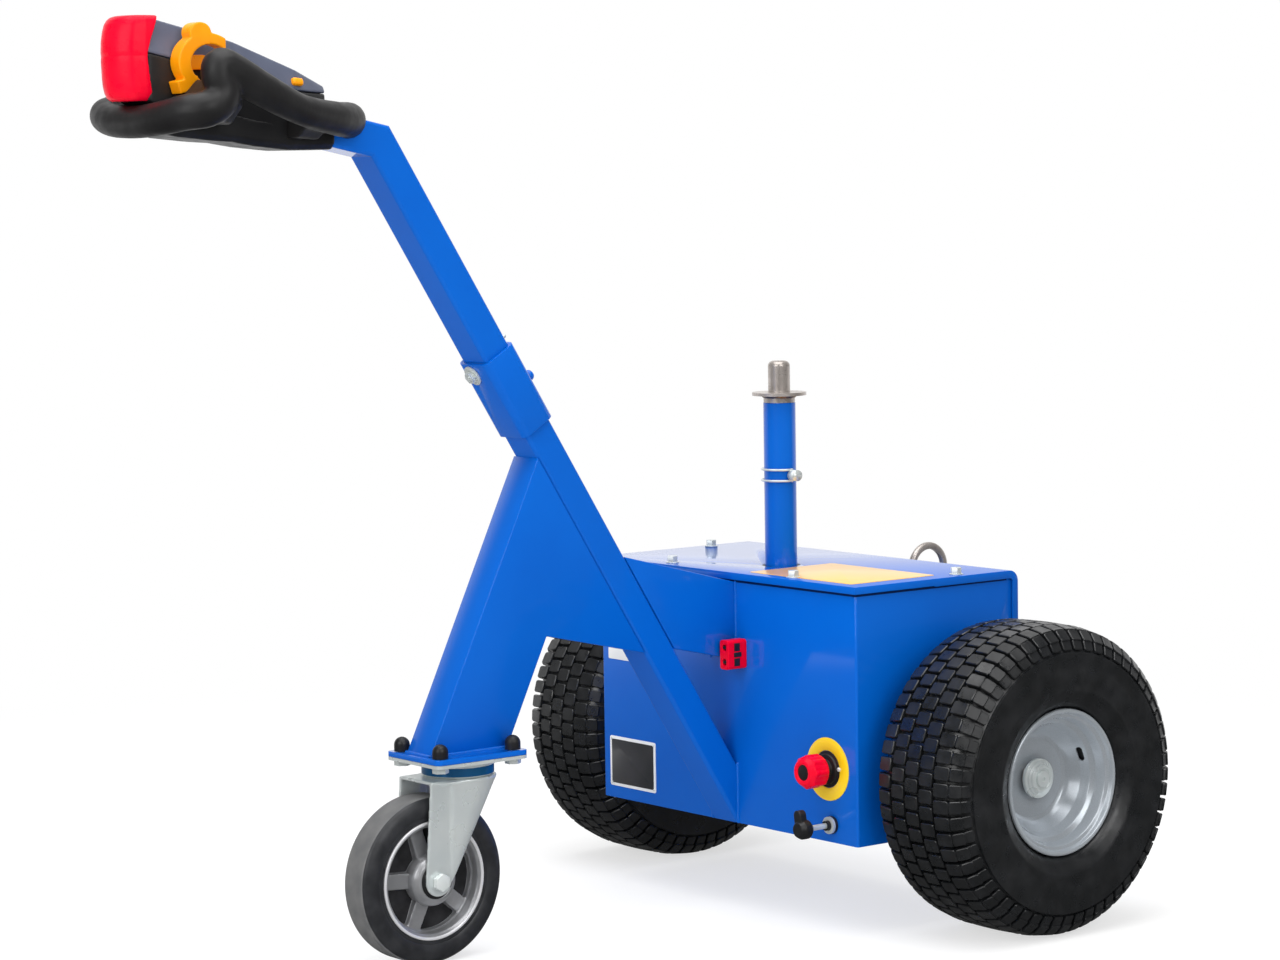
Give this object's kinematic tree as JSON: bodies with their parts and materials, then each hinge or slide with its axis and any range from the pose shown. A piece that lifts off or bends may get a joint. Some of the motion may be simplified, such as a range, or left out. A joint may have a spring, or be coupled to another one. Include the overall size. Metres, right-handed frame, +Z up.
{
  "type": "electric trailer mover",
  "caption": "Walk-behind electric tug with two driven tyres, a trailing castor on a raked tiller arm and a hitch post with a domed pin.",
  "frame": {"origin": "on the floor, below the middle of the machine's length and width", "axes": "+Z up, +X to the machine's right as seen from the operator's end (-Y), +Y towards the rear"},
  "size_m": [0.86, 1.253, 1.111],
  "materials": {
    "blue_paint": "gloss powder coat",
    "battery_case": "matte",
    "drive_casting": "as cast",
    "zinc": "bright zinc plate",
    "bare_steel": "turned",
    "silver_paint": "silver paint",
    "castor_alloy": "die cast",
    "castor_rubber": "matte",
    "tyre_rubber": "matte",
    "black_plastic": "moulded",
    "grip_rubber": "satin",
    "grey_plastic": "moulded",
    "red_plastic": "moulded",
    "orange_plastic": "moulded",
    "yellow_plastic": "printed disc"
  },
  "bodies": {
    "chassis": {"housing": "blue_paint", "lid": "blue_paint", "battery_left": "battery_case", "battery_right": "battery_case", "drive_unit": "drive_casting", "axle_housing_left": "zinc", "axle_housing_right": "zinc", "lower_tube": "blue_paint", "sleeve": "blue_paint", "upper_tube": "blue_paint", "sleeve_bolt": "zinc", "arm_neck": "blue_paint", "arm_gusset": "blue_paint", "foot_plate": "blue_paint", "plate_bolts": "zinc", "bolt_caps": "black_plastic", "castor_plate": "zinc", "hitch_post": "blue_paint", "hitch_pin": "bare_steel", "lock_pin": "zinc", "tow_eye": "bare_steel", "stop_switch_base": "yellow_plastic", "stop_switch_knob": "red_plastic", "charge_socket": "red_plastic", "release_rod": "zinc", "release_knob": "black_plastic", "console": "black_plastic", "console_cover": "grey_plastic", "belly_button": "red_plastic", "thumb_levers": "orange_plastic", "horn_button": "orange_plastic", "grips": "grip_rubber"},
    "wheel_right": {"shaft_right": "bare_steel", "rim_right": "silver_paint", "tyre_right": "tyre_rubber"},
    "wheel_left": {"shaft_left": "bare_steel", "rim_left": "silver_paint", "tyre_left": "tyre_rubber"},
    "castor": {"castor_fork": "zinc", "castor_axle": "zinc"},
    "castor_wheel": {"castor_rim": "castor_alloy", "castor_tyre": "castor_rubber"}
  },
  "joints": [
    {"name": "wheel_right_spin", "type": "hinge", "parent": "chassis", "child": "wheel_right", "pos_m": [0, 0.42848, 0.19], "axis": [1, 0, 0], "continuous": true},
    {"name": "wheel_left_spin", "type": "hinge", "parent": "chassis", "child": "wheel_left", "pos_m": [0, 0.42848, 0.19], "axis": [1, 0, 0], "continuous": true},
    {"name": "castor_swivel", "type": "hinge", "parent": "chassis", "child": "castor", "pos_m": [0, -0.16852, 0.241], "axis": [0, 0, 1], "continuous": true},
    {"name": "castor_wheel_spin", "type": "hinge", "parent": "castor", "child": "castor_wheel", "pos_m": [0, -0.22152, 0.1], "axis": [1, 0, 0], "continuous": true}
  ]
}
